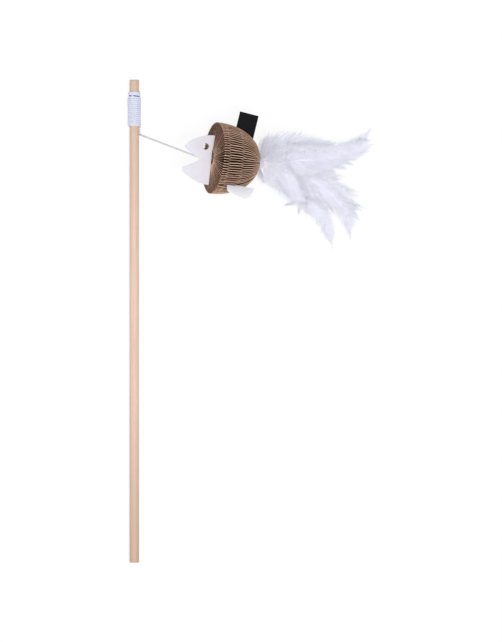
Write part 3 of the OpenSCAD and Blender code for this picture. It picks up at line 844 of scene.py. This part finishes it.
# Height in the stack, turn of the quill in degrees, plan in shares of the length, half width below and above, profile
FEATHERS = {
    "feather_inner": (0, -153, [(0, 0), (0.2, -0.1), (0.5, -0.26), (0.58, -0.65)], (11.0, 12.0), "lance"),
    "feather_upper": (1, 135, [(0, 0), (0.28, 0.24), (0.62, -0.15), (0.87, 0.255)], (13.0, 14.5), "slim"),
    "feather_outer": (2, -81, [(0, 0), (0.3, -0.06), (0.69, -0.17), (0.715, -0.58)], (15.0, 16.5), "broad"),
    "feather_middle": (3, 63, [(0, 0), (0.32, 0.03), (0.58, 0), (0.835, 0.14)], (14.5, 12.5), "blade"),
    "feather_short": (4, -9, [(0, 0), (0.2, -0.05), (0.26, -0.14), (0.33, -0.3)], (6.0, 6.0), "lance"),
}
TOP_RANK = 4
# Shares of the half width, from the root to the tip
BREADTHS = {
    "broad": [0.8, 0.95, 1, 1, 1, 0.98, 0.94, 0.88, 0.81, 0.73, 0.62, 0.49, 0.35, 0.2, 0.08],
    "hollow": [0.8, 0.95, 1, 1, 1, 0.96, 0.86, 0.7, 0.55, 0.42, 0.32, 0.24, 0.17, 0.1, 0.05],
    "lance": [0.8, 0.95, 1, 1, 0.98, 0.94, 0.88, 0.8, 0.71, 0.61, 0.51, 0.4, 0.28, 0.15, 0.05],
    "slim": [0.8, 0.95, 1, 1.05, 1.02, 0.94, 0.8, 0.62, 0.45, 0.38, 0.36, 0.34, 0.28, 0.2, 0.1],
    "blade": [0.8, 0.95, 1, 1, 1, 0.96, 0.9, 0.82, 0.72, 0.62, 0.54, 0.48, 0.42, 0.32, 0.15],
}
# Profiles whose lower side differs
LOWER_SIDE = {"broad": "hollow"}
# How far along its spine a vane starts to close to a point
POINTED = {"feather_inner": 0.74, "feather_outer": 0.78, "feather_upper": 0.86}

SPINE_STEPS, SPINE_RISE, SPINE_FROM = 60, 0.25, 0.04
WEB_SHARE, WEB_HALF_COLUMNS = 0.56, 4
BARBS_PER_MM, DOWNY_TO, FLUFF_COUNT = 6.0, 0.1, 2300
# Thinnest and thickest root of a strand, and its tip
BARB, FLUFF, ROOT_HAIR = (0.16, 0.26, 0.05), (0.12, 0.2, 0.04), (0.14, 0.22, 0.05)

# Down round the quills: lowest and highest heading in degrees, shortest and longest, and how many
ROOT_DOWN = {
    "feather_upper": (40, 88, 14, 21, 260),
    "feather_middle": (0, 60, 12, 20, 260),
    "feather_short": (-40, 10, 10, 18, 220),
    "feather_inner": (-100, -35, 9, 15, 260),
}
# Down over the creases: lowest and highest heading in degrees, nearest and furthest start, and how many
CREASE_DOWN = {
    "feather_outer": (-54, -12, 16, 38, 190),
    "feather_middle": (-14, 8, 18, 50, 110),
}
# Loose wisps below the tail: where each ends on the table, and where on its feather it starts
WISPS = {
    "feather_short": [(28.5, 96.0, 0.97), (40.0, 88.6, 0.97), (47.5, 88.2, 0.99), (51.5, 86.6, 1.0)],
    "feather_inner": [(11.2, 113.8, 0.02), (25.0, 109.5, 0.15), (34.0, 103.0, 0.25)],
}
WISP_STRANDS, WISP_END_Z = 90, 1.5


def drape(x, y, rank):
    """Height of a feather's middle over a place on the table."""
    r = math.hypot(x - DRAPE_AT.x, y - DRAPE_AT.y) - DRAPE_BACK
    return FEATHER_T / 2 + SEAT + rank * FEATHER_STEP + TAIL_DROP * max(0, 1 - r / DROOP) ** 2


def bezier(plan, t):
    k = ((1 - t) ** 3, 3 * t * (1 - t) ** 2, 3 * t * t * (1 - t), t ** 3)
    return Vector((sum(a * p[0] for a, p in zip(k, plan)), sum(a * p[1] for a, p in zip(k, plan)))) * FEATHER_LEN


def breadth(kind, t):
    table = BREADTHS[kind]
    x = min(max(t, 0), 1) * (len(table) - 1)
    i = min(int(x), len(table) - 2)
    return table[i] + (table[i + 1] - table[i]) * (x - i)


class Plume:
    """A feather in the making: quill, spine and web, then the barbs and the down."""

    def __init__(self, node):
        self.node = node
        self.rank, turn, plan, self.halves, self.kind = FEATHERS[node]
        self.rng = random.Random(100 + self.rank)
        self.low = 0.25 + 0.1 * self.rank
        self.points, self.faces, self.painted_light_faces = [], [], []
        v, w = QUILL_RING * math.sin(math.radians(turn)), QUILL_RING * math.cos(math.radians(turn))
        quill = [in_fish(TAIL_U + du, v, w) / MM for du in (-3.4, -1.0, 0.6)]
        self.spine = []
        for i in range(SPINE_STEPS + 1):
            p = bezier(plan, SPINE_FROM + (1 - SPINE_FROM) * i / SPINE_STEPS)
            x, y = TAIL_AT.x + p.x, TAIL_AT.y + p.y
            self.spine.append(Vector((x, y, drape(x, y, self.rank) + SPINE_RISE)))
        self.strand(quill + self.spine, QUILL_R, QUILL_TIP, QUILL_SIDES)
        self.horn_faces = len(self.faces)
        self.web()
        self.web_faces = len(self.faces)

    def half_width(self, t, above):
        return self.halves[above] * breadth(self.kind if above else LOWER_SIDE.get(self.kind, self.kind), t)

    def along(self, t):
        """Point and heading at a share of the spine."""
        x = min(max(t, 0), 1) * SPINE_STEPS
        i = min(int(x), SPINE_STEPS - 1)
        step = self.spine[i + 1] - self.spine[i]
        return self.spine[i] + step * (x - i), step.normalized()

    def strand(self, path, radius, tip, sides=3):
        """A closed tapering strand with a pointed end."""
        points, faces = self.points, self.faces
        first, n = len(points), len(path)
        for i in range(n - 1):
            way = way_at(path, i)
            side = way.cross(Vector((0.1, 0.2, 1))).normalized()
            top = way.cross(side)
            r = radius + (tip - radius) * i / (n - 1)
            for j in range(sides):
                a = 2 * math.pi * j / sides + 0.5
                points.append((path[i] + side * r * math.cos(a) + top * r * math.sin(a)) * MM)
        points.append(path[-1] * MM)
        end = len(points) - 1
        faces.append(tuple(first + j for j in range(sides))[::-1])
        for i in range(n - 1):
            a = first + i * sides
            for j in range(sides):
                k = (j + 1) % sides
                faces.append((a + j, a + k, end) if i == n - 2 else (a + j, a + k, a + sides + k, a + sides + j))

    def barbules(self, path, hairs, longest):
        """Short hairs along a strand that make it downy."""
        rng, steps = self.rng, len(path) - 1
        for _ in range(hairs):
            s = rng.uniform(0.15, 1.0) * steps
            k = min(int(s), steps - 1)
            q = path[k] + (path[k + 1] - path[k]) * (s - k)
            heading = (path[k + 1] - path[k]).normalized()
            off = Vector((-heading.y, heading.x, rng.uniform(-0.5, 0.8))).normalized() * rng.choice((-1, 1))
            tip = q + (heading * rng.uniform(0.5, 1.0) + off * rng.uniform(0.3, 0.9)) * rng.uniform(0.8, longest)
            tip.z = max(tip.z, 0.2)
            wide = UP.cross(tip - q).normalized() * 0.085
            base = len(self.points)
            self.points.extend([(q - wide) * MM, (q + wide) * MM, tip * MM])
            self.faces.append((base, base + 1, base + 2))

    def hair(self, path, size, hairs, longest):
        """A strand with its barbules. It returns the numbers of their faces."""
        before = len(self.faces)
        thin, thick, tip = size
        self.strand(path, self.rng.uniform(thin, thick), tip)
        self.barbules(path, hairs, longest)
        return range(before, len(self.faces))

    def barb_path(self, start, way, side, opening, length, lift, curl, rise=0.0, steps=7):
        path, p = [start.copy()], start.copy()
        sway = self.rng.uniform(-0.35, 0.35)
        for k in range(steps):
            s = (k + 0.5) / steps
            angle = opening * (1 - curl * s) + sway * math.sin(2 * math.pi * s)
            step = (way * math.cos(angle) + side * math.sin(angle)) * length / steps
            step.z += length / steps * (lift * math.sin(math.pi * min(1, s * 1.2)) - 0.06)
            p = p + step
            p.z = max(p.z, self.low + rise)
            path.append(p.copy())
        return path

    def web(self):
        """The close-knit middle of the vane: a thin closed leaf that sinks towards its ragged edges."""
        rng, n, last = random.Random(7), len(self.spine), WEB_HALF_COLUMNS
        self.faces += slab_faces(n, 2 * last + 1, len(self.points))
        ruffle = [rng.uniform(-1, 1) for _ in self.spine]
        for face in (1, -1):
            for i, p in enumerate(self.spine):
                way = way_at(self.spine, i)
                side = Vector((-way.y, way.x, 0)).normalized()
                for k in range(-last, last + 1):
                    wide = max(0.3, self.half_width(i / (n - 1), k > 0) * WEB_SHARE)
                    ragged = 1 + (ruffle[i] * 0.14 - 0.08 if abs(k) == last else 0)
                    q = p + side * wide * ragged * k / last
                    q.z = max(0.16, q.z - 0.45 - 0.5 * (k / last) ** 2) + face * (0.16 - 0.1 * (k / last) ** 2)
                    self.points.append(q * MM)

    def barbs(self, side_way):
        """The barbs of one side, from the root to the tip, in clumps whose tips lie together."""
        rng, spine = self.rng, self.spine
        count = int(sum((b - a).length for a, b in zip(spine, spine[1:])) * BARBS_PER_MM)
        left = 0
        for n in range(count):
            t = min(0.995, max(0.0, (n + rng.random()) / count))
            start, way = self.along(t)
            side = Vector((-way.y, way.x, 0)).normalized() * side_way
            # Barbs lean forward more and more towards the tip, and stand every way at the root
            opening = math.radians(72 - 44 * min(1, t * 1.7) + rng.uniform(-9, 9))
            if t < 0.14:
                opening = math.radians(rng.uniform(48, 125))
            reach = self.half_width(t, side_way > 0) * rng.uniform(0.7, 1.12)
            if rng.random() < 0.07:
                reach *= rng.uniform(1.08, 1.3)
            length = reach / max(0.45, math.sin(opening * 0.8))
            lift = rng.uniform(-0.5, 1) * (0.2 if t < 0.3 else 0.12) + 0.05
            path = self.barb_path(start, way, side, opening, length, lift, rng.uniform(0.2, 0.7))
            # Past the down, the barbs of a clump are pulled to one place, or to the vane's point
            if t >= DOWNY_TO:
                if left == 0:
                    left = rng.randint(10, 30)
                    shared = self.along(t + left / 2 / count)[0] + (path[-1] - start) * rng.uniform(0.9, 1.12)
                left -= 1
                if t > POINTED.get(self.node, 1):
                    away = rng.uniform(-16, 2)
                    pull = spine[-1] + way * away + side * rng.uniform(0, 0.3 + 0.12 * max(0, -away)) - path[-1]
                else:
                    pull = (shared - path[-1]) * rng.uniform(0.65, 0.95)
                for k in range(1, len(path)):
                    path[k] += pull * (k / (len(path) - 1)) ** 1.5
                    path[k].z = max(path[k].z, self.low)
            hair_faces = self.hair(path, BARB, *((10, 2.4) if t < DOWNY_TO else (7, 1.3)))
            if t < rng.uniform(0.1, 0.32):
                self.painted_light_faces.extend(hair_faces)

    def fluff(self):
        """Short loose strands all over the vane."""
        rng = self.rng
        for _ in range(FLUFF_COUNT):
            t = 0.03 + 0.9 * rng.random() ** 1.2
            middle, way = self.along(t)
            side = Vector((-way.y, way.x, 0)).normalized()
            side_way = 1 if rng.random() < 0.5 else -1
            half = self.half_width(t, side_way > 0) * side_way
            start = middle + side * half * rng.uniform(0, 0.95) + Vector((0, 0, 0.15))
            opening, length = math.radians(rng.uniform(-12, 55)), rng.uniform(4, 10)
            if self.node in POINTED:
                length *= min(1, 0.3 + 1.3 * breadth(self.kind, t))
            path = self.barb_path(start, way, side * side_way, opening, length, rng.uniform(0.06, 0.2),
                                  rng.uniform(0.1, 0.6), 0.3, 5)
            hair_faces = self.hair(path, FLUFF, 5, 2.0)
            if t < rng.uniform(0.1, 0.34):
                self.painted_light_faces.extend(hair_faces)

    def root_down(self, low_turn, high_turn, near, far, count):
        """Down that stands round the quill."""
        rng = self.rng
        for _ in range(count):
            heading = math.radians(rng.uniform(low_turn, high_turn))
            way = Vector((math.cos(heading), math.sin(heading), rng.uniform(-0.25, 0.2))).normalized()
            root = self.along(rng.uniform(0.0, 0.05))[0]
            start = root + Vector((rng.uniform(0.5, 4), rng.uniform(-2.5, 2.5), rng.uniform(-0.5, 0.8)))
            side = Vector((way.y, -way.x, 0)) * rng.choice((-1, 1))
            opening, length = math.radians(rng.uniform(0, 30)), rng.uniform(near, far)
            path = self.barb_path(start, way, side, opening, length, 0.15, rng.uniform(0, 1.5))
            self.painted_light_faces.extend(self.hair(path, ROOT_HAIR, 12, 2.6))

    def crease_down(self, low_turn, high_turn, near, far, count):
        """Loose strands that lie on the topmost feather and run on over its edge."""
        rng, steps = self.rng, 6
        for _ in range(count):
            heading = math.radians(rng.uniform(low_turn, high_turn))
            start, length = rng.uniform(near, far), rng.uniform(7, 15)
            veer, lift = rng.uniform(-0.12, 0.12), rng.uniform(-0.3, 0.5)
            path = []
            for k in range(steps + 1):
                s = k / steps
                r, turn = start + length * s, heading + veer * s * s
                x, y = TAIL_AT.x + r * math.cos(turn), TAIL_AT.y + r * math.sin(turn)
                path.append(Vector((x, y, drape(x, y, TOP_RANK - 2 * s) + lift)))
            self.painted_light_faces.extend(self.hair(path, FLUFF, 7, 2.0))

    def wisp(self, start, tip):
        """A pointed tuft of loose strands that sag to the table."""
        rng, steps = self.rng, 8
        for _ in range(WISP_STRANDS):
            a = start + Vector((rng.uniform(-2.6, 2.6), rng.uniform(-2.6, 2.6), rng.uniform(-0.3, 0.6)))
            b = start + (tip - start) * rng.uniform(0.65, 1.02)
            b = b + Vector((rng.uniform(-0.8, 0.8), rng.uniform(-0.8, 0.8), 0))
            bow = Vector((-(b - a).y, (b - a).x, 0)).normalized() * rng.uniform(0.2, 1.6)
            path = []
            for k in range(steps + 1):
                t = k / steps
                q = a + (b - a) * t + bow * math.sin(math.pi * t)
                q.z = max(0.3, a.z + (0.5 - a.z) * t ** 0.7)
                path.append(q)
            self.hair(path, BARB, 8, 1.4)

    def piece(self):
        piece = mesh_piece(self.node + "_plume", self.points, self.faces, smooth=False)
        dress(piece, DOWN, "white_feather", "fish", self.node)
        for material in (HORN, WEB, PAINTED_LIGHT_DOWN):
            piece.data.materials.append(material)
        polygons = piece.data.polygons
        for i in range(self.web_faces):
            polygons[i].material_index = 1 if i < self.horn_faces else 2
        # The strands round the root and over the creases take the whiter down: painted light
        for i in self.painted_light_faces:
            polygons[i].material_index = 3
        return piece


def make_feather(node):
    plume = Plume(node)
    for side_way in (-1, 1):
        plume.barbs(side_way)
    plume.fluff()
    if node in ROOT_DOWN:
        plume.root_down(*ROOT_DOWN[node])
    if node in CREASE_DOWN:
        plume.crease_down(*CREASE_DOWN[node])
    for x, y, t in WISPS.get(node, ()):
        plume.wisp(plume.along(t)[0], Vector((x, y, WISP_END_Z)))
    return plume.piece()


for feather_node in FEATHERS:
    make_feather(feather_node)


# ---------------------------------------------------------------- finishes on the pieces kept from the frame
def finish_node(node, material):
    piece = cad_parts[node]
    piece.data.materials.clear()
    piece.data.materials.append(material)


finish_node("rod", WOOD)
for card_node in ("core_tube", "cover_near", "cover_far"):
    finish_node(card_node, CARD)
finish_node("glue_plug", GLUE)


# ---------------------------------------------------------------- table, light and background
WHITE = (1, 1, 1)


def white_table():
    """A table that takes shadows, and that the camera sees as nearly white."""
    glow_share = 0.9
    bpy.ops.object.select_all(action="DESELECT")
    bpy.ops.mesh.primitive_plane_add(size=6, location=(0, 0, -0.2 * MM))
    table = bpy.context.active_object
    table.name = "table"
    p = paint("table_white")
    rays = p.put("LightPath").outputs
    seen = p.maths("MAXIMUM", rays["Is Camera Ray"],
                   p.maths("MAXIMUM", rays["Is Glossy Ray"], rays["Is Transmission Ray"]))
    matt = p.surface(srgb(250, 250, 250), 0.9)
    glow = p.put("Emission", {"Color": WHITE, "Strength": 1.0}).outputs[0]
    both = p.put("MixShader", {0: p.maths("MULTIPLY", seen, glow_share), 1: matt, 2: glow}).outputs[0]
    p.put("OutputMaterial", {"Surface": both})
    table.data.materials.append(p.owner)


def white_room():
    """A sky that is brighter overhead, and plain white to the camera."""
    world = bpy.data.worlds.new("studio")
    bpy.context.scene.world = world
    p = Paint(world)
    sky = p.put("Background", {"Color": WHITE, "Strength": p.grey(p.axes("Generated")["Z"], 0.25, 0.7)}).outputs[0]
    white = p.put("Background", {"Color": WHITE, "Strength": 1.0}).outputs[0]
    seen = p.put("LightPath").outputs["Is Camera Ray"]
    p.put("OutputWorld", {"Surface": p.put("MixShader", {0: seen, 1: sky, 2: white}).outputs[0]})


def sun(name, strength, spread_deg, turn_deg):
    data = bpy.data.lights.new(name, "SUN")
    data.energy = strength
    data.angle = math.radians(spread_deg)
    lamp = bpy.data.objects.new(name, data)
    lamp.rotation_euler = [math.radians(a) for a in turn_deg]
    bpy.context.scene.collection.objects.link(lamp)


white_table()
white_room()
sun("key", 1.65, 25, (12, 14, 0))
sun("fill", 0.65, 40, (8, -42, 0))
bpy.context.scene.view_settings.view_transform = "Standard"
